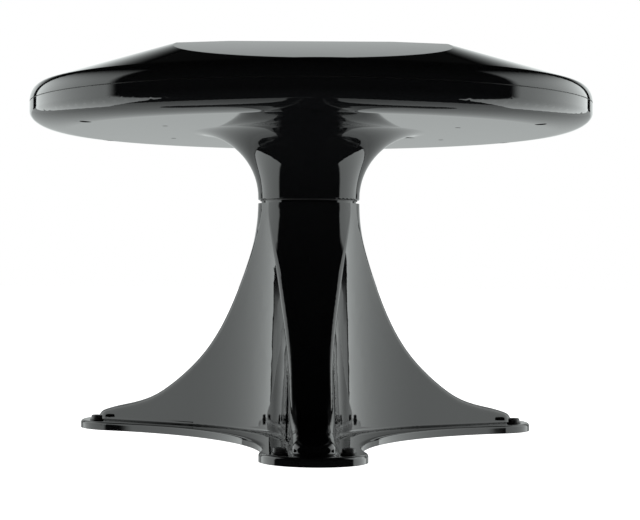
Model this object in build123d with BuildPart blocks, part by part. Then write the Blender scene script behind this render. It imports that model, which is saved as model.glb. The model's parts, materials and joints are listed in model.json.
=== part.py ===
"""Marine radar scanner: a flat faceted head that swivels on a three-legged pedestal.

Millimetres. The origin is on the swivel axis at the underside of the base plate, and +Z is up.
One leg points along -Y, towards the front.
"""

import os
from math import acos, atan, cos, degrees, hypot, pi, radians, sin, sqrt, tan

from build123d import *

LEG_AZIMUTHS = (-90, 30, 150)

# Base plate and feet
PLATE_THICKNESS = 7.5
PLATE_EDGE = 3.0
FOOT_TIP = 240.0
LOBE_RADIUS = 43.5
PLATE_WAIST = 82.5
BOLT_REACH = 212.0
BOLT_OFFSET = 27.0
BOLT_RADIUS = 3.0
BOLT_CLEARANCE = 0.3
BOLT_HEAD_RADIUS = 5.2
BOLT_HEAD_HEIGHT = 3.8
WASHER_RADIUS = 6.4
WASHER_THICKNESS = 1.2

# Pedestal legs
COLLAR_RADIUS = 45.5
COLLAR_TOP = 210.5
LEG_PROFILE = ((61.0, 140.0), (101.5, 74.5), (142.0, 41.0), (192.0, 22.5))
LEG_NOSE_HEIGHT = 13.0
LEG_TIP = 223.0
LEG_NOSE_HALF = 17.2
LEG_TAPER = 0.03
LEG_VALLEY = 51.0
LEG_DRAFT = 6.0
LEG_EDGE = 6.0
LEG_ROOT_FILLET = 3.0
CASTING_WALL = 6.0
CORE_RADIUS = 31.0
CORE_CEILING = 170.0
CONDUIT_RADIUS = 22.0
GROMMET_BOTTOM = 3.0
GROMMET_HEIGHT = 8.0
GROMMET_HOLE = 8.0

# Swivel between the pedestal and the neck
SPIGOT_FLANGE_RADIUS = 42.5
SPIGOT_SEAT = 5.0
SPIGOT_FLANGE_TOP = 212.6
SPIGOT_RADIUS = 30.0
SPIGOT_TOP = 246.0
SPIGOT_SCREW_REACH = 35.5
SPIGOT_SCREW_COUNT = 6
SPIGOT_SCREW_START = 30.0
SPIGOT_SCREW_HEAD = 3.1
SPIGOT_SCREW_RADIUS = 1.7
SPIGOT_SCREW_RECESS = 3.0
SPIGOT_SCREW_LENGTH = 12.0
SPIGOT_TAP_DEPTH = 11.0
WASHER_OUTER = 43.5
WASHER_HEIGHT = 0.8
BUSH_CLEARANCE = 0.05
BUSH_OUTER = 36.0
BUSH_HEIGHT = 7.5
LOWER_BUSH_BOTTOM = 214.5
UPPER_BUSH_BOTTOM = 232.5
NUT_HEIGHT = 4.0
NUT_RADIUS = 34.5
STOP_HEIGHT = 227.25
STOP_PIN_RADIUS = 2.0
STOP_PIN_LENGTH = 10.5
STOP_LUG_WIDTH = 14.0
STOP_LUG_HEIGHT = 7.0

# Head
HEAD_RADIUS = 250.0
PARTING = 298.0
PARTING_GAP = 0.8
UNDERSIDE = 274.0
SHELL = 3.5
NECK_BOTTOM = 213.5
NECK_STRAIGHT_TOP = 215.5
FLARE_RADIUS = 106.0
BORE_STEP_ANGLE = 156.0
LOWER_SHOULDER = 35.0
LOWER_SHOULDER_TOP = 289.5
UPPER_SHOULDER = 12.0
UPPER_SHOULDER_TOP = 313.75
CONE_SLOPE = 0.313
FACET_HEIGHT = 359.3
FACET_SLOPE = 0.19
PLATEAU = 351.5
RIM_SCREW_REACH = 220.0
RIM_SCREW_COUNT = 6
RIM_BOSS_RADIUS = 7.0
RIM_BOSS_JOINT = 292.0
RIM_SCREW_HEAD = 4.6
RIM_SCREW_RADIUS = 2.5
RIM_SCREW_LENGTH = 26.0
RIM_SCREW_SEAT = UNDERSIDE + 5.0
RIM_POCKET_RADIUS = 5.0
CHASSIS_SCREW_REACH = 145.0
VENT_REACH = 103.0
VENT_AZIMUTH = 27.0
VENT_SIDE = 15.0
VENT_RECESS = 2.0

# Chassis and drive
CHASSIS_BOTTOM = 283.0
CHASSIS_THICKNESS = 3.0
CHASSIS_RADIUS = 158.0
CHASSIS_TOP = CHASSIS_BOTTOM + CHASSIS_THICKNESS
HOUSING_RADIUS = 15.0
HOUSING_BOTTOM = 262.0
HOUSING_FLANGE_RADIUS = 24.0
HOUSING_TOP = CHASSIS_TOP + 3.0
BEARING_OUTER = 12.0
BEARING_WIDTH = 6.0
SHAFT_RADIUS = 6.0
SMALL_SCREW = 1.3
MOTOR_RADIUS = 14.0
MOTOR_LENGTH = 18.0
MOTOR_SHAFT_RADIUS = 2.0
GEAR_MODULE = 1.25
GEAR_TEETH = 48
PINION_TEETH = 16
PRESSURE_ANGLE = 25.0
BACKLASH = 0.12
GEAR_BOTTOM = 291.5
GEAR_WIDTH = 6.0
SENSOR_REACH = 26.5
MAGNET_RADIUS = 1.5
MAGNET_HEIGHT = 3.0

# Rotating antenna
CARRIER_BOTTOM = 298.0
CARRIER_THICKNESS = 3.0
CARRIER_LENGTH = 392.0
CARRIER_WIDTH = 56.0
CARRIER_TOP = CARRIER_BOTTOM + CARRIER_THICKNESS
ARRAY_LENGTH = 384.0
ARRAY_DEPTH = 18.0
ARRAY_HEIGHT = 12.0
ARRAY_BACK = -8.0
FACE_THICKNESS = 1.6
JOINT_RADIUS = 7.0

# Electronics
BOARD_THICKNESS = 1.6
BOARD_GAP = 4.0
BOARD_BOTTOM = CHASSIS_TOP + BOARD_GAP
BOARD_TOP = BOARD_BOTTOM + BOARD_THICKNESS
MAIN_BOARD = (110.0, 76.0, 90.0)
POWER_BOARD = (96.0, 60.0, -92.0)
BOARD_SCREW_INSET = 5.0
MAIN_PARTS = ((-40, 105, 14, 8, 4), (-42, 80, 8, 14, 2.5), (40, 78, 12, 8, 3), (42, 100, 7, 7, 2))
POWER_PARTS = ((-28, -92, 16, 16, 4.5), (0, -98, 12, 20, 4), (24, -88, 14, 10, 4.5), (28, -106, 10, 8, 3))
SHIELD_CENTRE = 96.0
SHIELD_LENGTH = 52.0
SHIELD_WIDTH = 40.0
SHIELD_HEIGHT = 4.4
SHIELD_WALL = 0.6
SOCKET_LENGTH = 14.0

gear_pitch = GEAR_MODULE * GEAR_TEETH / 2
pinion_pitch = GEAR_MODULE * PINION_TEETH / 2
motor_reach = gear_pitch + pinion_pitch


def on_leg(azimuth, reach, offset=0.0):
    """A plan point at a distance along a leg and sideways from its centre line."""
    turn = radians(azimuth)
    return (reach * cos(turn) - offset * sin(turn), reach * sin(turn) + offset * cos(turn))


def base_plan():
    """Three round lobes joined by three inward arcs."""
    lobe_centre = FOOT_TIP - LOBE_RADIUS
    waist_radius = (lobe_centre**2 + PLATE_WAIST**2 - lobe_centre * PLATE_WAIST - LOBE_RADIUS**2) / (
        2 * LOBE_RADIUS + lobe_centre - 2 * PLATE_WAIST
    )
    waist_centre = PLATE_WAIST + waist_radius
    span = LOBE_RADIUS + waist_radius
    share = LOBE_RADIUS / span
    touch_x = lobe_centre + share * (waist_centre * cos(pi / 3) - lobe_centre)
    touch_y = share * waist_centre * sin(pi / 3)
    with BuildSketch() as plan:
        with BuildLine():
            for azimuth in LEG_AZIMUTHS:
                start = on_leg(azimuth, touch_x, -touch_y)
                end = on_leg(azimuth, touch_x, touch_y)
                following = on_leg(azimuth + 120, touch_x, -touch_y)
                ThreePointArc(start, on_leg(azimuth, FOOT_TIP), end)
                ThreePointArc(end, on_leg(azimuth + 60, PLATE_WAIST), following)
        make_face()
    return plan


def star_plan(height, wall, draft):
    """The plan of the legs at one height: tapered fins with rounded tips and round valleys."""
    tip = LEG_TIP - wall
    nose = LEG_NOSE_HALF - wall - draft
    crossing = (nose + tip * LEG_TAPER) / (tan(pi / 3) + LEG_TAPER) / cos(pi / 3)
    opening = pi / 3 + atan(LEG_TAPER)
    valley_radius = (LEG_VALLEY - wall - draft - crossing) / (1 / sin(opening) - 1)
    corners = []
    for azimuth in LEG_AZIMUTHS:
        corners += [on_leg(azimuth, tip, -nose), on_leg(azimuth, tip, nose), on_leg(azimuth + 60, crossing)]
    with BuildSketch(Plane.XY.offset(height)) as plan:
        with BuildLine():
            Polyline(*corners, close=True)
        make_face()
        valleys = plan.vertices().filter_by(lambda point: hypot(point.X, point.Y) < tip / 2)
        fillet(valleys, radius=valley_radius)
        tips = plan.vertices().filter_by(lambda point: hypot(point.X, point.Y) > tip - 5)
        fillet(tips, radius=0.9 * nose)
    return plan


def leg_form(wall):
    """The three legs: a drafted star cut by a turned profile, shrunk by a wall all round."""
    foot = star_plan(0, wall, 0)
    head = star_plan(COLLAR_TOP, wall, LEG_DRAFT)
    with BuildPart() as star:
        add(foot.sketch)
        add(head.sketch)
        loft(ruled=True)
    with BuildPart() as form:
        with BuildSketch(Plane.XZ):
            with BuildLine():
                stations = ((COLLAR_RADIUS, COLLAR_TOP), *LEG_PROFILE)
                curve = Spline(*[(x - wall, z - wall) for x, z in stations], tangents=((0, -1), (1, -0.2)))
                nose_end = (LEG_TIP + 1 - wall, LEG_NOSE_HEIGHT - wall / 2)
                nose = TangentArc(curve @ 1, nose_end, tangent=curve % 1)
                Polyline(nose @ 1, (LEG_TIP + 1 - wall, 0), (0, 0), (0, COLLAR_TOP - wall), curve @ 0)
            make_face()
        revolve(axis=Axis.Z)
        add(star.part, mode=Mode.INTERSECT)
    return form


def is_leg_root(edge):
    """True for an edge where a leg meets the top of the base plate."""
    middle = edge @ 0.5
    if abs(middle.Z - PLATE_THICKNESS) > 0.01:
        return False
    sideways = min(abs(middle.Y * cos(radians(a)) - middle.X * sin(radians(a))) for a in LEG_AZIMUTHS)
    return hypot(middle.X, middle.Y) < 60 or sideways < 19


def is_leg_edge(edge):
    """True for a long sloping edge between a leg's outer face and its flank."""
    middle = edge @ 0.5
    return 2 * PLATE_THICKNESS < middle.Z < COLLAR_TOP - 1 and edge.length > 40


with BuildPart() as base_plate:
    add(base_plan().sketch)
    extrude(amount=PLATE_THICKNESS)
    fillet(base_plate.edges().group_by(Axis.Z)[-1], radius=PLATE_EDGE)

with BuildPart() as casting_core:
    add(leg_form(CASTING_WALL).part)
    Cylinder(CORE_RADIUS, COLLAR_TOP, align=(Align.CENTER, Align.CENTER, Align.MIN), mode=Mode.SUBTRACT)
    split(bisect_by=Plane.XY.offset(CORE_CEILING), keep=Keep.BOTTOM)

with BuildPart() as pedestal_casting:
    add(leg_form(0).part)
    fillet(pedestal_casting.edges().filter_by(is_leg_edge), radius=LEG_EDGE)
    add(base_plate.part)
    fillet(pedestal_casting.edges().filter_by(is_leg_root), radius=LEG_ROOT_FILLET)
    add(casting_core.part, mode=Mode.SUBTRACT)
    with BuildSketch(Plane.XY.offset(COLLAR_TOP - SPIGOT_SEAT)):
        Circle(SPIGOT_FLANGE_RADIUS)
    extrude(amount=SPIGOT_SEAT, mode=Mode.SUBTRACT)
    with BuildSketch():
        Circle(CONDUIT_RADIUS)
    extrude(amount=COLLAR_TOP, mode=Mode.SUBTRACT)
    with BuildSketch(Plane.XY.offset(COLLAR_TOP - SPIGOT_SEAT)):
        with PolarLocations(SPIGOT_SCREW_REACH, SPIGOT_SCREW_COUNT, start_angle=SPIGOT_SCREW_START):
            Circle(SPIGOT_SCREW_RADIUS)
    extrude(amount=-SPIGOT_TAP_DEPTH, mode=Mode.SUBTRACT)
    for azimuth in LEG_AZIMUTHS:
        with Locations(on_leg(azimuth, BOLT_REACH, BOLT_OFFSET), on_leg(azimuth, BOLT_REACH, -BOLT_OFFSET)):
            Cylinder(BOLT_RADIUS + BOLT_CLEARANCE, 3 * PLATE_THICKNESS, mode=Mode.SUBTRACT)


def turned(*outline):
    """A solid of revolution about the swivel axis from (radius, height) corners."""
    with BuildPart() as piece:
        with BuildSketch(Plane.XZ):
            with BuildLine():
                Polyline(*outline, close=True)
            make_face()
        revolve(axis=Axis.Z)
    return piece


def ring(outer, inner, bottom, height):
    """A plain ring about the swivel axis."""
    return turned((inner, bottom), (outer, bottom), (outer, bottom + height), (inner, bottom + height))


def round_group(places, radius, bottom, height):
    """Equal upright cylinders, one separate solid at each plan point."""
    with BuildPart() as group:
        with BuildSketch(Plane.XY.offset(bottom)):
            with Locations(*places):
                Circle(radius)
        extrude(amount=height)
    return group


def screw_group(places, head_radius, head_height, shank_radius, shank_length, seat, upward=False):
    """Pan-head screws seated at one height; upward screws have their heads below the seat."""
    head_bottom = seat - head_height if upward else seat
    shank_bottom = seat if upward else seat - shank_length
    with BuildPart() as group:
        add(round_group(places, head_radius, head_bottom, head_height).part)
        add(round_group(places, shank_radius, shank_bottom, shank_length).part)
    return group


def circle_points(radius, count, start=0.0):
    """Plan points evenly spaced on a circle, from an azimuth in degrees."""
    return [on_leg(start + 360 * i / count, radius) for i in range(count)]


bolt_points = [on_leg(a, BOLT_REACH, side * BOLT_OFFSET) for a in LEG_AZIMUTHS for side in (-1, 1)]
rim_screw_points = circle_points(RIM_SCREW_REACH, RIM_SCREW_COUNT, LEG_AZIMUTHS[0])
chassis_screw_points = circle_points(CHASSIS_SCREW_REACH, RIM_SCREW_COUNT, LEG_AZIMUTHS[0])
spigot_screw_points = circle_points(SPIGOT_SCREW_REACH, SPIGOT_SCREW_COUNT, SPIGOT_SCREW_START)

with BuildPart() as foot_washers:
    add(round_group(bolt_points, WASHER_RADIUS, PLATE_THICKNESS, WASHER_THICKNESS).part)
    with BuildSketch(Plane.XY.offset(PLATE_THICKNESS)):
        with Locations(*bolt_points):
            Circle(BOLT_RADIUS)
    extrude(amount=WASHER_THICKNESS, mode=Mode.SUBTRACT)

with BuildPart() as foot_bolts:
    bolt_seat = PLATE_THICKNESS + WASHER_THICKNESS
    shank = bolt_seat - 0.3
    add(screw_group(bolt_points, BOLT_HEAD_RADIUS, BOLT_HEAD_HEIGHT, BOLT_RADIUS, shank, bolt_seat).part)
    fillet(foot_bolts.edges().group_by(Axis.Z)[-1], radius=1.2)
    for place in bolt_points:
        with BuildSketch(Plane.XY.offset(bolt_seat + BOLT_HEAD_HEIGHT)):
            with Locations(place):
                RegularPolygon(2.4, 6)
        extrude(amount=-2.0, mode=Mode.SUBTRACT)

with BuildPart() as swivel_spigot:
    flange_bottom = COLLAR_TOP - SPIGOT_SEAT
    tube_height = SPIGOT_TOP - SPIGOT_FLANGE_TOP
    screw_seat = SPIGOT_FLANGE_TOP - SPIGOT_SCREW_RECESS
    add(ring(SPIGOT_FLANGE_RADIUS, CONDUIT_RADIUS, flange_bottom, SPIGOT_FLANGE_TOP - flange_bottom).part)
    add(ring(SPIGOT_RADIUS, CONDUIT_RADIUS, SPIGOT_FLANGE_TOP, tube_height).part)
    with BuildSketch(Plane.XZ.offset(SPIGOT_RADIUS - 12)):
        with Locations((0, STOP_HEIGHT)):
            Circle(STOP_PIN_RADIUS)
    extrude(amount=14, mode=Mode.SUBTRACT)
    with BuildSketch(Plane.XY.offset(SPIGOT_FLANGE_TOP)):
        with Locations(*spigot_screw_points):
            Circle(SPIGOT_SCREW_HEAD + 0.1)
    extrude(amount=-SPIGOT_SCREW_RECESS, mode=Mode.SUBTRACT)
    with BuildSketch(Plane.XY.offset(screw_seat)):
        with Locations(*spigot_screw_points):
            Circle(SPIGOT_SCREW_RADIUS + 0.1)
    extrude(amount=-2 * SPIGOT_SEAT, mode=Mode.SUBTRACT)

spigot_screws = screw_group(
    spigot_screw_points, SPIGOT_SCREW_HEAD, 2.6, SPIGOT_SCREW_RADIUS, SPIGOT_SCREW_LENGTH, screw_seat
)
thrust_washer = ring(WASHER_OUTER, SPIGOT_RADIUS + 0.1, SPIGOT_FLANGE_TOP, WASHER_HEIGHT)
lower_bush = ring(BUSH_OUTER, SPIGOT_RADIUS + BUSH_CLEARANCE, LOWER_BUSH_BOTTOM, BUSH_HEIGHT)
upper_bush = ring(BUSH_OUTER, SPIGOT_RADIUS + BUSH_CLEARANCE, UPPER_BUSH_BOTTOM, BUSH_HEIGHT)

with BuildPart() as retaining_nut:
    add(ring(NUT_RADIUS, SPIGOT_RADIUS, UPPER_BUSH_BOTTOM + BUSH_HEIGHT + 0.4, NUT_HEIGHT).part)
    with BuildSketch(Plane.XY.offset(UPPER_BUSH_BOTTOM)):
        with PolarLocations(NUT_RADIUS, 6):
            Rectangle(4, 5)
    extrude(amount=4 * NUT_HEIGHT, mode=Mode.SUBTRACT)

with BuildPart() as stop_pin:
    with BuildSketch(Plane.XZ.offset(SPIGOT_RADIUS - 6)):
        with Locations((0, STOP_HEIGHT)):
            Circle(STOP_PIN_RADIUS)
    extrude(amount=STOP_PIN_LENGTH)

with BuildPart() as stop_lug:
    with BuildSketch(Plane.XY.offset(STOP_HEIGHT - STOP_LUG_HEIGHT / 2)):
        with Locations((0, 34)):
            Rectangle(STOP_LUG_WIDTH, 8)
        Circle(BUSH_OUTER, mode=Mode.INTERSECT)
        Circle(SPIGOT_RADIUS + 0.8, mode=Mode.SUBTRACT)
    extrude(amount=STOP_LUG_HEIGHT)

with BuildPart() as cable_grommet:
    add(ring(CONDUIT_RADIUS, GROMMET_HOLE, GROMMET_BOTTOM, GROMMET_HEIGHT).part)

# Head shells
with BuildPart() as lower_radome:
    with BuildSketch(Plane.XZ):
        with BuildLine():
            rim_bottom = PARTING - PARTING_GAP / 2
            floor = UNDERSIDE + SHELL
            inner_rim = HEAD_RADIUS - SHELL
            shoulder = (HEAD_RADIUS - LOWER_SHOULDER, LOWER_SHOULDER_TOP)
            shoulder_rise = LOWER_SHOULDER_TOP - UNDERSIDE
            flare = (FLARE_RADIUS, NECK_STRAIGHT_TOP)
            flare_reach = FLARE_RADIUS - COLLAR_RADIUS
            flare_rise = UNDERSIDE - NECK_STRAIGHT_TOP
            step_turn = radians(BORE_STEP_ANGLE)
            step_radius = FLARE_RADIUS + (flare_reach + SHELL) * cos(step_turn)
            step_height = NECK_STRAIGHT_TOP + (flare_rise + SHELL) * sin(step_turn)
            Line((BUSH_OUTER, NECK_BOTTOM), (COLLAR_RADIUS, NECK_BOTTOM))
            Line((COLLAR_RADIUS, NECK_BOTTOM), (COLLAR_RADIUS, NECK_STRAIGHT_TOP))
            EllipticalCenterArc(flare, flare_reach, flare_rise, 90, arc_size=90)
            Line((FLARE_RADIUS, UNDERSIDE), (HEAD_RADIUS - LOWER_SHOULDER, UNDERSIDE))
            EllipticalCenterArc(shoulder, LOWER_SHOULDER, shoulder_rise, 270, arc_size=90)
            Line((HEAD_RADIUS, LOWER_SHOULDER_TOP), (HEAD_RADIUS, rim_bottom))
            Line((HEAD_RADIUS, rim_bottom), (inner_rim, rim_bottom))
            Line((inner_rim, rim_bottom), (inner_rim, LOWER_SHOULDER_TOP))
            EllipticalCenterArc(shoulder, LOWER_SHOULDER - SHELL, shoulder_rise - SHELL, 270, arc_size=90)
            Line((HEAD_RADIUS - LOWER_SHOULDER, floor), (FLARE_RADIUS, floor))
            inner_arc = BORE_STEP_ANGLE - 90
            EllipticalCenterArc(flare, flare_reach + SHELL, flare_rise + SHELL, 90, arc_size=inner_arc)
            Line((step_radius, step_height), (BUSH_OUTER, step_height))
            Line((BUSH_OUTER, step_height), (BUSH_OUTER, NECK_BOTTOM))
        make_face()
    revolve(axis=Axis.Z)
    fillet(lower_radome.edges().group_by(Axis.Z)[0].sort_by(SortBy.RADIUS)[-1], radius=1.2)
    add(round_group(rim_screw_points, RIM_BOSS_RADIUS, floor - 1, RIM_BOSS_JOINT - floor + 1).part)
    add(round_group(chassis_screw_points, RIM_BOSS_RADIUS, floor - 1, CHASSIS_BOTTOM - floor + 1).part)
    pocket_depth = RIM_SCREW_SEAT - UNDERSIDE + 2
    pockets = round_group(rim_screw_points, RIM_POCKET_RADIUS, UNDERSIDE - 2, pocket_depth)
    add(pockets.part, mode=Mode.SUBTRACT)
    add(round_group(rim_screw_points, RIM_SCREW_RADIUS + 0.1, UNDERSIDE, 30.0).part, mode=Mode.SUBTRACT)
    add(round_group(chassis_screw_points, 2.4, UNDERSIDE - 1, 4.0).part, mode=Mode.SUBTRACT)
    add(round_group(chassis_screw_points, SMALL_SCREW, UNDERSIDE, 20.0).part, mode=Mode.SUBTRACT)
    with BuildSketch(Plane.XY.offset(UNDERSIDE - 3)):
        with Locations(on_leg(VENT_AZIMUTH, VENT_REACH)):
            RegularPolygon(VENT_SIDE / sqrt(3), 3, rotation=VENT_AZIMUTH)
    extrude(amount=SHELL + 4, mode=Mode.SUBTRACT)

with BuildPart() as vent_plug:
    with BuildSketch(Plane.XY.offset(UNDERSIDE + VENT_RECESS)):
        with Locations(on_leg(VENT_AZIMUTH, VENT_REACH)):
            RegularPolygon(VENT_SIDE / sqrt(3), 3, rotation=VENT_AZIMUTH)
    extrude(amount=SHELL)


def top_form(wall):
    """The faceted top: a shallow cone with a rounded rim, three facets and a flat middle."""
    reach = HEAD_RADIUS - wall
    drop = wall * sqrt(1 + CONE_SLOPE**2)
    bottom = PARTING + PARTING_GAP / 2
    shoulder = reach - UPPER_SHOULDER
    shoulder_rise = UPPER_SHOULDER_TOP + wall * CONE_SLOPE - drop - bottom
    tangent_turn = atan(shoulder_rise / UPPER_SHOULDER / CONE_SLOPE)
    cone_reach = shoulder + UPPER_SHOULDER * cos(tangent_turn)
    cone_bottom = bottom + shoulder_rise * sin(tangent_turn)
    peak = cone_bottom + CONE_SLOPE * cone_reach
    with BuildPart() as form:
        with BuildSketch(Plane.XZ):
            with BuildLine():
                Line((0, bottom), (reach, bottom))
                arc = degrees(tangent_turn)
                EllipticalCenterArc((shoulder, bottom), UPPER_SHOULDER, shoulder_rise, 0, arc_size=arc)
                Line((cone_reach, cone_bottom), (0, peak))
                Line((0, peak), (0, bottom))
            make_face()
        revolve(axis=Axis.Z)
        facet_drop = wall * sqrt(1 + FACET_SLOPE**2)
        for azimuth in LEG_AZIMUTHS:
            lean = on_leg(azimuth, FACET_SLOPE)
            facet = Plane(origin=(0, 0, FACET_HEIGHT - facet_drop), z_dir=(*lean, 1))
            split(bisect_by=facet, keep=Keep.BOTTOM)
        split(bisect_by=Plane.XY.offset(PLATEAU - wall), keep=Keep.BOTTOM)
    return form


with BuildPart() as boss_limit:
    add(top_form(SHELL / 2).part)
    with BuildSketch(Plane.XY.offset(RIM_BOSS_JOINT)):
        Circle(HEAD_RADIUS - LOWER_SHOULDER / 2)
    extrude(amount=PARTING + 1 - RIM_BOSS_JOINT)

with BuildPart() as rim_bosses:
    add(round_group(rim_screw_points, RIM_BOSS_RADIUS, RIM_BOSS_JOINT + 0.3, 30).part)
    add(boss_limit.part, mode=Mode.INTERSECT)

with BuildPart() as upper_radome:
    add(top_form(0).part)
    add(top_form(SHELL).part, mode=Mode.SUBTRACT)
    add(rim_bosses.part)
    add(round_group(rim_screw_points, RIM_SCREW_RADIUS, RIM_BOSS_JOINT, 14.0).part, mode=Mode.SUBTRACT)

rim_screws = screw_group(
    rim_screw_points, RIM_SCREW_HEAD, 2.6, RIM_SCREW_RADIUS, RIM_SCREW_LENGTH, RIM_SCREW_SEAT, upward=True
)
chassis_screws = screw_group(chassis_screw_points, 2.3, 1.8, SMALL_SCREW, 10.0, UNDERSIDE + 3.0, upward=True)
rim_seal = ring(HEAD_RADIUS - 1.4, HEAD_RADIUS - 3.3, PARTING - PARTING_GAP / 2, PARTING_GAP)

# Chassis, spindle housing and drive
motor_centre = (motor_reach, 0)
motor_screw_points = [(motor_reach, 9.0), (motor_reach, -9.0)]
housing_screw_points = circle_points(19.5, 4, 45)
boards = {"main": MAIN_BOARD, "power": POWER_BOARD}
board_screw_points = [
    (side * (length / 2 - BOARD_SCREW_INSET), centre + end * (width / 2 - BOARD_SCREW_INSET))
    for length, width, centre in boards.values()
    for side in (-1, 1)
    for end in (-1, 1)
]
socket_centre = (-motor_reach, 0)

with BuildPart() as chassis_plate:
    with BuildSketch(Plane.XY.offset(CHASSIS_BOTTOM)):
        Circle(CHASSIS_RADIUS)
        Circle(HOUSING_RADIUS, mode=Mode.SUBTRACT)
        with Locations(motor_centre):
            Circle(4.0, mode=Mode.SUBTRACT)
        with Locations(*motor_screw_points, *housing_screw_points, *chassis_screw_points):
            Circle(SMALL_SCREW, mode=Mode.SUBTRACT)
        with Locations(socket_centre):
            Circle(6.0, mode=Mode.SUBTRACT)
        with GridLocations(190, 90, 2, 2):
            Circle(16.0, mode=Mode.SUBTRACT)
    extrude(amount=CHASSIS_THICKNESS)

lower_bearing_bottom = HOUSING_BOTTOM + 1.0
upper_bearing_bottom = HOUSING_TOP - BEARING_WIDTH - 0.5
housing_body = turned(
    (SHAFT_RADIUS + 2.5, HOUSING_BOTTOM),
    (HOUSING_RADIUS, HOUSING_BOTTOM),
    (HOUSING_RADIUS, CHASSIS_TOP),
    (HOUSING_FLANGE_RADIUS, CHASSIS_TOP),
    (HOUSING_FLANGE_RADIUS, HOUSING_TOP),
    (BEARING_OUTER, HOUSING_TOP),
    (BEARING_OUTER, upper_bearing_bottom),
    (SHAFT_RADIUS + 3.0, upper_bearing_bottom),
    (SHAFT_RADIUS + 3.0, lower_bearing_bottom + BEARING_WIDTH),
    (BEARING_OUTER, lower_bearing_bottom + BEARING_WIDTH),
    (BEARING_OUTER, lower_bearing_bottom),
    (SHAFT_RADIUS + 2.5, lower_bearing_bottom),
)
with BuildPart() as spindle_housing:
    add(housing_body.part)
    add(round_group(housing_screw_points, SMALL_SCREW, CHASSIS_TOP - 1, 6).part, mode=Mode.SUBTRACT)
lower_bearing = ring(BEARING_OUTER, SHAFT_RADIUS + BUSH_CLEARANCE, lower_bearing_bottom, BEARING_WIDTH)
upper_bearing = ring(BEARING_OUTER, SHAFT_RADIUS + BUSH_CLEARANCE, upper_bearing_bottom, BEARING_WIDTH)
housing_cap = round_group([(0, 0)], HOUSING_RADIUS, HOUSING_BOTTOM - 2.5, 2.5)
housing_screws = screw_group(housing_screw_points, 2.5, 1.8, SMALL_SCREW, 6.0, HOUSING_TOP)

with BuildPart() as drive_motor:
    with BuildSketch(Plane.XY.offset(CHASSIS_BOTTOM - MOTOR_LENGTH)):
        with Locations(motor_centre):
            Circle(MOTOR_RADIUS)
    extrude(amount=MOTOR_LENGTH)
    fillet(drive_motor.edges().group_by(Axis.Z)[0], radius=1.5)
    with BuildSketch(Plane.XY.offset(CHASSIS_BOTTOM)):
        with Locations(motor_centre):
            Circle(MOTOR_SHAFT_RADIUS + BUSH_CLEARANCE)
        with Locations(*motor_screw_points):
            Circle(SMALL_SCREW)
    extrude(amount=-8.0, mode=Mode.SUBTRACT)
motor_screws = screw_group(motor_screw_points, 2.3, 1.6, SMALL_SCREW, 8.0, CHASSIS_TOP)
shaft_bottom = CHASSIS_BOTTOM - 7.5
shaft_length = GEAR_BOTTOM + GEAR_WIDTH - shaft_bottom
motor_shaft = round_group([motor_centre], MOTOR_SHAFT_RADIUS, shaft_bottom, shaft_length)


def gear(teeth, bore, centre, first_tooth):
    """A spur gear with involute flanks, one tooth centred on the first azimuth."""
    pitch = GEAR_MODULE * teeth / 2
    base = pitch * cos(radians(PRESSURE_ANGLE))
    flank_start = max(base, pitch - 0.6 * GEAR_MODULE)
    heights = (pitch - 1.2 * GEAR_MODULE, flank_start, pitch, pitch + 0.9 * GEAR_MODULE)
    pitch_involute = tan(radians(PRESSURE_ANGLE)) - radians(PRESSURE_ANGLE)
    flank = []
    for radius in heights:
        slant = acos(min(1.0, base / radius))
        flank.append((radius, pi / 2 / teeth - BACKLASH / 2 / pitch + pitch_involute - tan(slant) + slant))
    corners = []
    for tooth in range(teeth):
        middle = radians(first_tooth) + 2 * pi * tooth / teeth
        for side, stations in ((-1, flank), (1, flank[::-1])):
            for radius, half_angle in stations:
                turn = middle + side * half_angle
                corners.append((centre[0] + radius * cos(turn), centre[1] + radius * sin(turn)))
    with BuildPart() as wheel:
        with BuildSketch(Plane.XY.offset(GEAR_BOTTOM)):
            with BuildLine():
                Polyline(*corners, close=True)
            make_face()
            with Locations(centre):
                Circle(bore, mode=Mode.SUBTRACT)
        extrude(amount=GEAR_WIDTH)
    return wheel


pinion_gear = gear(PINION_TEETH, MOTOR_SHAFT_RADIUS, motor_centre, 180 + 180 / PINION_TEETH)
with BuildPart() as driven_gear:
    add(gear(GEAR_TEETH, SHAFT_RADIUS, (0, 0), 0).part)
    with BuildSketch(Plane.XY.offset(GEAR_BOTTOM)):
        with PolarLocations(15.5, 6, start_angle=30):
            Circle(4.5)
    extrude(amount=GEAR_WIDTH, mode=Mode.SUBTRACT)
    with BuildSketch(Plane.XY.offset(GEAR_BOTTOM)):
        with Locations((-SENSOR_REACH, 0)):
            Circle(MAGNET_RADIUS)
    extrude(amount=MAGNET_HEIGHT, mode=Mode.SUBTRACT)
home_magnet = round_group([(-SENSOR_REACH, 0)], MAGNET_RADIUS, GEAR_BOTTOM, MAGNET_HEIGHT)
with BuildPart() as hall_sensor:
    with BuildSketch(Plane.XY.offset(CHASSIS_TOP)):
        with Locations((-SENSOR_REACH - 1.0, 0)):
            Rectangle(4.0, 5.0)
    extrude(amount=GEAR_BOTTOM - CHASSIS_TOP - 0.8)

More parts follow.
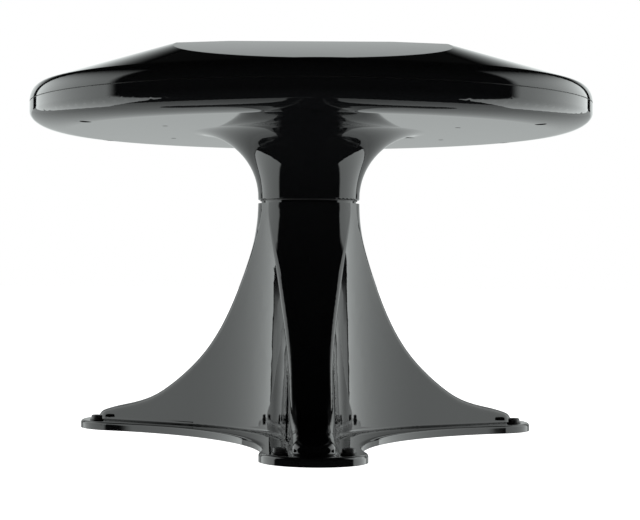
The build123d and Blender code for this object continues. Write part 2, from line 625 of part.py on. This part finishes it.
# Rotating antenna
spindle_shaft = round_group([(0, 0)], SHAFT_RADIUS, HOUSING_BOTTOM + 0.5, CARRIER_TOP - HOUSING_BOTTOM - 0.5)
array_centre = ARRAY_BACK - ARRAY_DEPTH / 2
array_screw_points = [(x, array_centre) for x in (-160, -55, 55, 160)]
with BuildPart() as antenna_carrier:
    with BuildSketch(Plane.XY.offset(CARRIER_BOTTOM)):
        RectangleRounded(CARRIER_LENGTH, CARRIER_WIDTH, 6)
        Circle(SHAFT_RADIUS, mode=Mode.SUBTRACT)
        with Locations(*array_screw_points):
            Circle(SMALL_SCREW, mode=Mode.SUBTRACT)
        with Locations((-120, 12), (120, 12)):
            SlotOverall(110, 14, mode=Mode.SUBTRACT)
    extrude(amount=CARRIER_THICKNESS)
with BuildPart() as antenna_array:
    with BuildSketch(Plane.XY.offset(CARRIER_TOP)):
        with Locations((0, array_centre)):
            Rectangle(ARRAY_LENGTH, ARRAY_DEPTH)
    extrude(amount=ARRAY_HEIGHT)
    add(round_group(array_screw_points, SMALL_SCREW, CARRIER_TOP, 6.0).part, mode=Mode.SUBTRACT)
with BuildPart() as radiating_face:
    with BuildSketch(Plane.XY.offset(CARRIER_TOP)):
        with Locations((0, ARRAY_BACK - ARRAY_DEPTH - FACE_THICKNESS / 2)):
            Rectangle(ARRAY_LENGTH, FACE_THICKNESS)
    extrude(amount=ARRAY_HEIGHT)
    with BuildSketch(Plane.XZ.offset(-ARRAY_BACK + ARRAY_DEPTH)):
        with Locations((0, CARRIER_TOP + ARRAY_HEIGHT / 2)):
            with GridLocations(16, 1, 22, 1):
                Rectangle(1.6, 8)
    extrude(amount=FACE_THICKNESS, mode=Mode.SUBTRACT)
with BuildPart() as rotary_joint:
    with BuildSketch(Plane.XY.offset(CARRIER_TOP)):
        Circle(JOINT_RADIUS)
        with Locations((0, -JOINT_RADIUS / 2 - 0.5)):
            Rectangle(6, JOINT_RADIUS + 1)
    extrude(amount=6)
array_screws = screw_group(array_screw_points, 2.5, 1.8, SMALL_SCREW, 8.0, CARRIER_BOTTOM, upward=True)
with BuildPart() as counterweight:
    with BuildSketch(Plane.XY.offset(CARRIER_TOP)):
        with Locations((0, 20)):
            RectangleRounded(80, 14, 2)
    extrude(amount=9)

# Electronics


def board(length, width, centre):
    """A circuit board on the chassis with a screw hole in each corner."""
    with BuildPart() as piece:
        with BuildSketch(Plane.XY.offset(BOARD_BOTTOM)):
            with Locations((0, centre)):
                RectangleRounded(length, width, 3)
            with Locations(*board_screw_points):
                Circle(SMALL_SCREW, mode=Mode.SUBTRACT)
        extrude(amount=BOARD_THICKNESS)
    return piece


def block_group(blocks, bottom):
    """Rectangular components on a board, each (x, y, length, width, height)."""
    with BuildPart() as group:
        for x, y, length, width, height in blocks:
            with BuildSketch(Plane.XY.offset(bottom)):
                with Locations((x, y)):
                    Rectangle(length, width)
            extrude(amount=height)
    return group


with BuildPart() as main_board:
    add(board(*MAIN_BOARD).part)
    add(block_group(MAIN_PARTS, BOARD_TOP).part)
with BuildPart() as power_board:
    add(board(*POWER_BOARD).part)
    add(block_group(POWER_PARTS, BOARD_TOP).part)
with BuildPart() as rf_shield:
    with BuildSketch(Plane.XY.offset(BOARD_TOP)):
        with Locations((0, SHIELD_CENTRE)):
            RectangleRounded(SHIELD_LENGTH, SHIELD_WIDTH, 2)
    extrude(amount=SHIELD_HEIGHT)
    with BuildSketch(Plane.XY.offset(BOARD_TOP)):
        with Locations((0, SHIELD_CENTRE)):
            Rectangle(SHIELD_LENGTH - 2 * SHIELD_WALL, SHIELD_WIDTH - 2 * SHIELD_WALL)
    extrude(amount=SHIELD_HEIGHT - SHIELD_WALL, mode=Mode.SUBTRACT)
with BuildPart() as board_standoffs:
    add(round_group(board_screw_points, 3.0, CHASSIS_TOP, BOARD_GAP).part)
    add(round_group(board_screw_points, SMALL_SCREW, CHASSIS_TOP, BOARD_GAP).part, mode=Mode.SUBTRACT)
board_screws = screw_group(board_screw_points, 2.6, 1.6, SMALL_SCREW, BOARD_THICKNESS + BOARD_GAP, BOARD_TOP)
with BuildPart() as connector_socket:
    add(round_group([socket_centre], 9.0, CHASSIS_BOTTOM - SOCKET_LENGTH, SOCKET_LENGTH).part)
    add(round_group([socket_centre], 6.0, CHASSIS_BOTTOM, CHASSIS_THICKNESS + 1).part)
    add(round_group([socket_centre], 7.0, CHASSIS_BOTTOM - SOCKET_LENGTH, 9).part, mode=Mode.SUBTRACT)
    add(round_group([socket_centre], 2.0, CHASSIS_BOTTOM - 12, 9).part)

pieces = {
    "pedestal_casting": pedestal_casting,
    "foot_bolts": foot_bolts,
    "foot_washers": foot_washers,
    "swivel_spigot": swivel_spigot,
    "spigot_screws": spigot_screws,
    "thrust_washer": thrust_washer,
    "retaining_nut": retaining_nut,
    "stop_pin": stop_pin,
    "cable_grommet": cable_grommet,
    "lower_radome": lower_radome,
    "upper_radome": upper_radome,
    "rim_seal": rim_seal,
    "rim_screws": rim_screws,
    "chassis_screws": chassis_screws,
    "vent_plug": vent_plug,
    "lower_bush": lower_bush,
    "upper_bush": upper_bush,
    "stop_lug": stop_lug,
    "chassis_plate": chassis_plate,
    "spindle_housing": spindle_housing,
    "housing_cap": housing_cap,
    "housing_screws": housing_screws,
    "lower_bearing": lower_bearing,
    "upper_bearing": upper_bearing,
    "drive_motor": drive_motor,
    "motor_screws": motor_screws,
    "main_board": main_board,
    "rf_shield": rf_shield,
    "power_board": power_board,
    "board_standoffs": board_standoffs,
    "board_screws": board_screws,
    "connector_socket": connector_socket,
    "hall_sensor": hall_sensor,
    "spindle_shaft": spindle_shaft,
    "driven_gear": driven_gear,
    "antenna_carrier": antenna_carrier,
    "antenna_array": antenna_array,
    "radiating_face": radiating_face,
    "array_screws": array_screws,
    "rotary_joint": rotary_joint,
    "counterweight": counterweight,
    "home_magnet": home_magnet,
    "pinion_gear": pinion_gear,
    "motor_shaft": motor_shaft,
}
os.makedirs("parts", exist_ok=True)
for name, piece in pieces.items():
    piece.part.label = name
    export_step(piece.part, f"parts/{name}.step")
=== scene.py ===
"""Marine radar scanner in gloss black: a faceted head on a three-legged pedestal."""
import json
import math

import bmesh
import bpy
import numpy as np
from mathutils import Matrix, Vector


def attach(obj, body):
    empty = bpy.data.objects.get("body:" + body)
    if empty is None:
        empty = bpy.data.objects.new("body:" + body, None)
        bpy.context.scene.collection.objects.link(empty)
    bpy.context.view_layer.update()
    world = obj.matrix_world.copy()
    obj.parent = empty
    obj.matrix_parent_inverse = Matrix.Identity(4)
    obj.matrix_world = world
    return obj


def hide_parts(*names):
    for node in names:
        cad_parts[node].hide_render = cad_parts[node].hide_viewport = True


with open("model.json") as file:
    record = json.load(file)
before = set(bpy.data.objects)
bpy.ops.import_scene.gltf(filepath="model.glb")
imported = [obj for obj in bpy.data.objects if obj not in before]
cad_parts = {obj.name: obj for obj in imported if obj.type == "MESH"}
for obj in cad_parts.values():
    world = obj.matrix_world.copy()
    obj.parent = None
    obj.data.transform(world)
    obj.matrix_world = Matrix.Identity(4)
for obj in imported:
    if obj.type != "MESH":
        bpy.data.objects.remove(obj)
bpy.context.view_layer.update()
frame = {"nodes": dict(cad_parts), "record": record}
record = frame["record"]
scene = bpy.context.scene

# ---------------------------------------------------------------- camera
CAMERA_DISTANCE = 1.6
CAMERA_HEIGHT = 0.1525
CAMERA_TURN = math.radians(1.45)
CAMERA_SWING = math.radians(-2.2)
CAMERA_ROLL = 0.007
LENS = 100.0
SENSOR = 36.0
SHIFT_X = 0.125
SHIFT_Y = 0.0123


def add_camera():
    """A level camera a little above the feet, looking along +Y with the object off its axis."""
    data = bpy.data.cameras.new("camera")
    data.lens = LENS
    data.sensor_width = SENSOR
    data.shift_x = SHIFT_X
    data.shift_y = SHIFT_Y
    camera = bpy.data.objects.new("camera", data)
    scene.collection.objects.link(camera)
    place = Vector((-math.sin(CAMERA_TURN), -math.cos(CAMERA_TURN), 0)) * CAMERA_DISTANCE
    place.z = CAMERA_HEIGHT
    level = Matrix.Rotation(math.pi / 2, 4, "X")
    aim = Matrix.Rotation(-CAMERA_TURN - CAMERA_SWING, 4, "Z") @ level
    roll = Matrix.Rotation(CAMERA_ROLL, 4, "Z")
    camera.matrix_world = Matrix.Translation(place) @ aim @ roll
    scene.camera = camera


add_camera()


# ---------------------------------------------------------------- shader maths
class Value:
    """One shader socket that takes part in Python arithmetic."""

    def __init__(self, tree, socket):
        self.tree = tree
        self.socket = socket

    def math(self, operation, *others):
        terms = dict(enumerate((self, *others)))
        return self.tree.value("ShaderNodeMath", {"operation": operation}, terms)

    def __add__(self, other):
        return self.math("ADD", other)

    def __mul__(self, other):
        return self.math("MULTIPLY", other)

    def __rsub__(self, other):
        return (self * -1.0) + other

    def ramp(self, start, end):
        """0 at start to 1 at end, smoothly."""
        return self.tree.value(
            "ShaderNodeMapRange",
            {"interpolation_type": "SMOOTHSTEP"},
            {"Value": self, "From Min": start, "From Max": end},
        )


class Tree:
    """A node tree that is written as Python expressions."""

    def __init__(self, tree):
        self.tree = tree
        self.tree.nodes.clear()

    def fill(self, node, sockets):
        """Links or sets the inputs of a node."""
        for name, term in sockets.items():
            if isinstance(term, Value):
                self.tree.links.new(term.socket, node.inputs[name])
            else:
                node.inputs[name].default_value = term

    def node(self, kind, settings=None, sockets=None):
        made = self.tree.nodes.new(kind)
        for name, setting in (settings or {}).items():
            setattr(made, name, setting)
        self.fill(made, sockets or {})
        return made

    def value(self, kind, settings=None, sockets=None, output=0):
        return Value(self, self.node(kind, settings, sockets).outputs[output])

    def split(self, vector):
        """The three parts of a vector."""
        parts = self.node("ShaderNodeSeparateXYZ", sockets={0: vector})
        return [Value(self, socket) for socket in parts.outputs]


def new_material(name):
    """An empty material and its tree."""
    material = bpy.data.materials.new(name)
    material.use_nodes = True
    return material, Tree(material.node_tree)


def coated(name, sockets_of):
    """A Principled material; sockets_of(tree) says what goes into the shader."""
    material, tree = new_material(name)
    shader = tree.value("ShaderNodeBsdfPrincipled", sockets=sockets_of(tree))
    tree.node("ShaderNodeOutputMaterial", sockets={"Surface": shader})
    return material


# ---------------------------------------------------------------- studio
WHITE = (1, 1, 1, 1)
TINT = (0.95, 1.0, 0.99, 1)
ROOM_GLOW = 0.006
FAR_FLOOR_GLOW = 0.67
FAR_FLOOR_EDGE = (134.0, 135.2)
HORIZON_EDGE = (-1, 1)

SIDE_GLOW = 2.2
SIDE_LOW_SHARE = 1.0
SIDE_REACH = 0.6
SIDE_FRONT = -0.25
SIDE_SOFT = 0.06
SIDE_BACK = 0.49
SIDE_FADE = 0.4
SIDE_TOP = 0.85
BACK_GLOW = 1.0
BACK_LOW_SHARE = 0.6
BACK_REACH = 0.6
BACK_HALF = 0.57
BACK_FRONT = 0.0
BACK_SOFT = 0.1
BACK_FADE = 0.42
BACK_TOP = 0.62
PANEL_BOTTOM = -0.4
LOW_EDGE = 0.25
LOW_SOFT = 0.05

FLOOR_HEIGHT = -0.0002
FLOOR_RADIUS = 12.0
FLOOR_SIDES = 96
FLOOR_TONE = (0.9, 0.9, 0.9, 1)
FLOOR_ROUGHNESS = 0.9
FLOOR_GLOW = 1.3
LIGHT_PLACE = (0, 0.3, 3.0)
LIGHT_SIDE = 4.0
LIGHT_POWER = 12


def add_world():
    """White for the eye; the gloss sees a dark room with a pale floor far behind the object."""
    world = bpy.data.worlds.new("studio")
    scene.world = world
    world.use_nodes = True
    tree = Tree(world.node_tree)
    x, y, z = tree.split(tree.value("ShaderNodeTexCoord", output="Generated"))
    degrees = 180 / math.pi
    turn = x.math("ABSOLUTE").math("ARCTAN2", y * -1.0) * degrees
    drop = z.math("ARCSINE") * degrees * -1.0
    glow = turn.ramp(*FAR_FLOOR_EDGE) * drop.ramp(*HORIZON_EDGE) * FAR_FLOOR_GLOW + ROOM_GLOW
    eye = tree.value("ShaderNodeLightPath", output="Is Camera Ray")
    strength = tree.value("ShaderNodeMix", {"data_type": "FLOAT"}, {0: eye, 2: glow, 3: 1.0})
    colours = {0: eye, 6: TINT, 7: WHITE}
    tint = tree.value("ShaderNodeMix", {"data_type": "RGBA"}, colours, output=2)
    light = tree.value("ShaderNodeBackground", sockets={"Color": tint, "Strength": strength})
    tree.node("ShaderNodeOutputWorld", sockets={"Surface": light})


def panel_glow(name, radiance, low_share, fade, front):
    """Emission that fades out with height and towards the front, and is weaker near the floor."""
    material, tree = new_material(name)
    _, y, z = tree.split(tree.value("ShaderNodeNewGeometry", output="Position"))
    low = z.ramp(LOW_EDGE, LOW_EDGE + LOW_SOFT) * (1 - low_share) + low_share
    strength = (1 - z.ramp(*fade)) * y.ramp(*front) * low * radiance
    light = tree.value("ShaderNodeEmission", sockets={"Color": TINT, "Strength": strength})
    tree.node("ShaderNodeOutputMaterial", sockets={"Surface": light})
    return material


def add_panel(name, start, end, top, shade):
    """An upright sheet over a line on the floor, which only the gloss sees."""
    corners = [(*start, PANEL_BOTTOM), (*end, PANEL_BOTTOM), (*end, top), (*start, top)]
    data = bpy.data.meshes.new(name)
    data.from_pydata(corners, [], [(0, 1, 2, 3)])
    panel = bpy.data.objects.new(name, data)
    scene.collection.objects.link(panel)
    data.materials.append(shade)
    panel.visible_camera = False
    panel.visible_diffuse = False
    panel.visible_shadow = False


def add_panels():
    """One panel on each side of the object and one behind it."""
    side_edges = ((SIDE_FADE, SIDE_TOP), (SIDE_FRONT, SIDE_FRONT + SIDE_SOFT))
    side_glow = panel_glow("side_glow", SIDE_GLOW, SIDE_LOW_SHARE, *side_edges)
    back_edges = ((BACK_FADE, BACK_TOP), (BACK_FRONT, BACK_FRONT + BACK_SOFT))
    back_glow = panel_glow("back_glow", BACK_GLOW, BACK_LOW_SHARE, *back_edges)
    for x in (-SIDE_REACH, SIDE_REACH):
        add_panel("side_panel", (x, SIDE_FRONT), (x, SIDE_BACK), SIDE_TOP, side_glow)
    add_panel("back_panel", (-BACK_HALF, BACK_REACH), (BACK_HALF, BACK_REACH), BACK_TOP, back_glow)


def add_floor():
    """A wide pale disc under the feet, which the gloss doesn't see."""
    mesh = bmesh.new()
    bmesh.ops.create_circle(mesh, cap_ends=True, segments=FLOOR_SIDES, radius=FLOOR_RADIUS)
    data = bpy.data.meshes.new("floor")
    mesh.to_mesh(data)
    mesh.free()
    floor = bpy.data.objects.new("floor", data)
    scene.collection.objects.link(floor)
    floor.location.z = FLOOR_HEIGHT
    floor.visible_glossy = False
    sockets = {
        "Base Color": FLOOR_TONE,
        "Roughness": FLOOR_ROUGHNESS,
        "Emission Color": WHITE,
        "Emission Strength": FLOOR_GLOW,
    }
    data.materials.append(coated("floor_white", lambda tree: sockets))


def add_light():
    """A broad soft light overhead, which the gloss doesn't see."""
    data = bpy.data.lights.new("top_light", "AREA")
    data.shape = "RECTANGLE"
    data.size = data.size_y = LIGHT_SIDE
    data.energy = LIGHT_POWER
    light = bpy.data.objects.new("top_light", data)
    scene.collection.objects.link(light)
    light.location = LIGHT_PLACE
    light.rotation_euler = (-Vector(LIGHT_PLACE)).to_track_quat("-Z", "Y").to_euler()
    light.visible_camera = False
    light.visible_glossy = False


add_world()
add_panels()
add_light()
add_floor()

# ---------------------------------------------------------------- materials
GLOSS_SLOTS = ("black_casting", "black_shell", "spigot_gloss")
GLOSS_TONE = (0.003, 0.0032, 0.0035, 1)
GLOSS_ROUGHNESS = 0.025
GLOSS_UNEVEN = 0.03
GLOSS_IOR = 1.5
POLISH_NOISE = {"Scale": 14.0, "Detail": 3.0}
PEEL_NOISE = {"Scale": 260.0, "Detail": 2.0}
PEEL_STRENGTH = 0.03
PEEL_DEPTH = 0.0002
PLAIN_ROUGHNESS = 0.3
PLAIN_UNEVEN = 0.2
GRAIN_NOISE = {"Scale": 90.0, "Detail": 4.0}
METALS = {"aluminium", "brushed_steel", "brass", "cast_iron"}


def noise(tree, look):
    """Noise fixed to the object."""
    place = tree.value("ShaderNodeTexCoord", output="Object")
    return tree.value("ShaderNodeTexNoise", sockets={"Vector": place, **look})


def gloss_black(tree):
    """Black gloss coat with a faint uneven polish and the slight waviness of paint."""
    peel = {"Strength": PEEL_STRENGTH, "Distance": PEEL_DEPTH, "Height": noise(tree, PEEL_NOISE)}
    return {
        "Base Color": GLOSS_TONE,
        "Roughness": noise(tree, POLISH_NOISE) * GLOSS_UNEVEN + GLOSS_ROUGHNESS,
        "Normal": tree.value("ShaderNodeBump", sockets=peel),
        "IOR": GLOSS_IOR,
    }


def plain(entry):
    """The record's own colour with a fine grain, for metal and plastic alike."""
    return lambda tree: {
        "Base Color": (*entry["base_color"][:3], 1),
        "Roughness": noise(tree, GRAIN_NOISE) * PLAIN_UNEVEN + PLAIN_ROUGHNESS,
        "Metallic": 1.0 if entry["class"] in METALS else 0.0,
    }


finishes = {}
for entry in record["materials"]:
    slot_name = entry["slot"]
    look = gloss_black if slot_name in GLOSS_SLOTS else plain(entry)
    finishes[slot_name] = coated(slot_name, look)

slot_of = {part["node"]: part["material_slot"] for part in record["subparts"]}
for node_name, node in frame["nodes"].items():
    node.data.materials.clear()
    node.data.materials.append(finishes[slot_of[node_name]])

# ---------------------------------------------------------------- fine shells
HEAD_RADIUS = 0.25
PARTING = 0.298
HALF_GAP = 0.0004
CONE_SLOPE = 0.313
UPPER_SHOULDER = (0.012, 0.01535)
LOWER_SHOULDER = (0.035, 0.0155)
UNDERSIDE = 0.274
NECK_RADIUS = 0.0455
NECK_TOP = 0.2155
FLARE = (0.0605, 0.0585)
ARC_STEPS = 90
LINE_STEPS = 360

MERGE = 1e-6
ON_CURVE = 0.0003
NEAR_SAMPLE = 4 * ON_CURVE
NEAR_AXIS = 0.01
FINE_EDGE = 0.006
MOST_ROUNDS = 6
BATCH = 4000
SHARP = math.radians(5)
FACET_UP = 0.97  # the cone between the facets reaches 0.954
SAME_WAY = 0.985
AS_BUILT = Vector((0, 0, 0))  # Blender reads a zero normal as its own automatic one


def arc(centre, radii, start, end):
    """Points and outward normals along an elliptical arc, from start to end in degrees."""
    points = []
    for step in range(ARC_STEPS + 1):
        angle = math.radians(start + (end - start) * step / ARC_STEPS)
        across, up = math.cos(angle), math.sin(angle)
        normal = Vector((across * radii[1], up * radii[0])).normalized()
        points.append((centre[0] + radii[0] * across, centre[1] + radii[1] * up, *normal))
    return points


def line(start, end, normal):
    """Points along a straight stretch, all with one normal."""
    start, end, normal = Vector(start), Vector(end), Vector(normal).normalized()
    return [(*start.lerp(end, step / LINE_STEPS), *normal) for step in range(LINE_STEPS + 1)]


def upper_curve():
    """The turned outline of the upper shell, from its rim to the axis."""
    bottom = PARTING + HALF_GAP
    reach, rise = UPPER_SHOULDER
    tangent = math.degrees(math.atan(rise / reach / CONE_SLOPE))
    shoulder = arc((HEAD_RADIUS - reach, bottom), UPPER_SHOULDER, 0, tangent)
    edge_x, edge_z = shoulder[-1][:2]
    peak = edge_z + CONE_SLOPE * edge_x
    return shoulder + line((edge_x, edge_z), (0, peak), (CONE_SLOPE, 1))


def lower_curve():
    """The turned outline of the lower shell, from its rim to the neck."""
    inner = HEAD_RADIUS - LOWER_SHOULDER[0]
    shoulder_top = UNDERSIDE + LOWER_SHOULDER[1]
    flare_centre = NECK_RADIUS + FLARE[0]
    flare = arc((flare_centre, NECK_TOP), FLARE, 90, 180)
    return (
        line((HEAD_RADIUS, PARTING - HALF_GAP), (HEAD_RADIUS, shoulder_top), (1, 0))
        + arc((inner, shoulder_top), LOWER_SHOULDER, 0, -90)
        + line((inner, UNDERSIDE), (flare_centre, UNDERSIDE), (0, -1))
        + [(x, z, -across, -up) for x, z, across, up in flare]
    )


def measure(mesh, curve):
    """For each vertex: its height over the outline, whether it is on it, and the nearest sample."""
    mesh.verts.index_update()
    places = np.array([(math.hypot(vert.co.x, vert.co.y), vert.co.z) for vert in mesh.verts])
    nearest = np.empty(len(places), dtype=int)
    for first in range(0, len(places), BATCH):
        batch = slice(first, first + BATCH)
        gaps = ((places[batch, None, :] - curve[None, :, :2]) ** 2).sum(axis=2)
        nearest[batch] = gaps.argmin(axis=1)
    offset = places - curve[nearest, :2]
    height = (offset * curve[nearest, 2:]).sum(axis=1)
    close = (abs(height) < ON_CURVE) & (np.hypot(*offset.T) < NEAR_SAMPLE)
    return height, close, nearest


def snap(mesh, curve):
    """Moves the vertices near the outline onto it."""
    height, close, nearest = measure(mesh, curve)
    for vert in mesh.verts:
        radius = math.hypot(vert.co.x, vert.co.y)
        if close[vert.index] and radius > NEAR_AXIS:
            gap = height[vert.index]
            across, up = curve[nearest[vert.index], 2:]
            vert.co.x *= 1 - gap * across / radius
            vert.co.y *= 1 - gap * across / radius
            vert.co.z -= gap * up


def refine(mesh, curve):
    """Splits the long edges on the outline and snaps the new vertices, round by round."""
    for _ in range(MOST_ROUNDS):
        close = measure(mesh, curve)[1]
        edges = [
            edge
            for edge in mesh.edges
            if edge.calc_length() > FINE_EDGE and all(close[vert.index] for vert in edge.verts)
        ]
        if not edges:
            break
        bmesh.ops.subdivide_edges(mesh, edges=edges, cuts=1)
        bmesh.ops.triangulate(mesh, faces=[face for face in mesh.faces if len(face.verts) > 3])
        snap(mesh, curve)


def is_facet(face):
    """Whether a face is a flat facet of the top; the level floors inside count as well."""
    return face.normal.z > FACET_UP


def sharpen(data):
    """Sharp edges at every crease, and wherever a flat facet meets another face."""
    data.shade_smooth()
    data.set_sharp_from_angle(angle=SHARP)
    kinds = {}
    for face in data.polygons:
        for key in face.edge_keys:
            kinds.setdefault(key, set()).add(is_facet(face))
    for edge in data.edges:
        if len(kinds[edge.key]) == 2:
            edge.use_edge_sharp = True


def corner_normals(data, curve, height, nearest):
    """Flat on the facets, exact on the turned outline, automatic elsewhere."""
    normals = []
    for face in data.polygons:
        for corner in face.vertices:
            place = data.vertices[corner].co
            radius = max(math.hypot(place.x, place.y), MERGE)
            across, up = curve[nearest[corner], 2:]
            exact = Vector((across * place.x / radius, across * place.y / radius, up))
            if is_facet(face):
                normals.append(face.normal.copy())
            elif abs(height[corner]) < ON_CURVE and face.normal.dot(exact) > SAME_WAY:
                normals.append(exact)
            else:
                normals.append(AS_BUILT)
    return normals


def fine_shell(name, curve):
    """A finer copy of a shell, with its outer points and normals set on the turned outline."""
    curve = np.array(curve)
    mesh = bmesh.new()
    mesh.from_mesh(frame["nodes"][name].data)
    bmesh.ops.remove_doubles(mesh, verts=mesh.verts, dist=MERGE)
    refine(mesh, curve)
    height, _, nearest = measure(mesh, curve)
    data = bpy.data.meshes.new("fine_" + name)
    mesh.to_mesh(data)
    mesh.free()
    sharpen(data)
    data.normals_split_custom_set(corner_normals(data, curve, height, nearest))
    shell = bpy.data.objects.new("fine_" + name, data)
    scene.collection.objects.link(shell)
    data.materials.append(finishes[slot_of[name]])
    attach(shell, "head")
    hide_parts(name)


fine_shell("upper_radome", upper_curve())
fine_shell("lower_radome", lower_curve())

scene.view_settings.view_transform = "Standard"
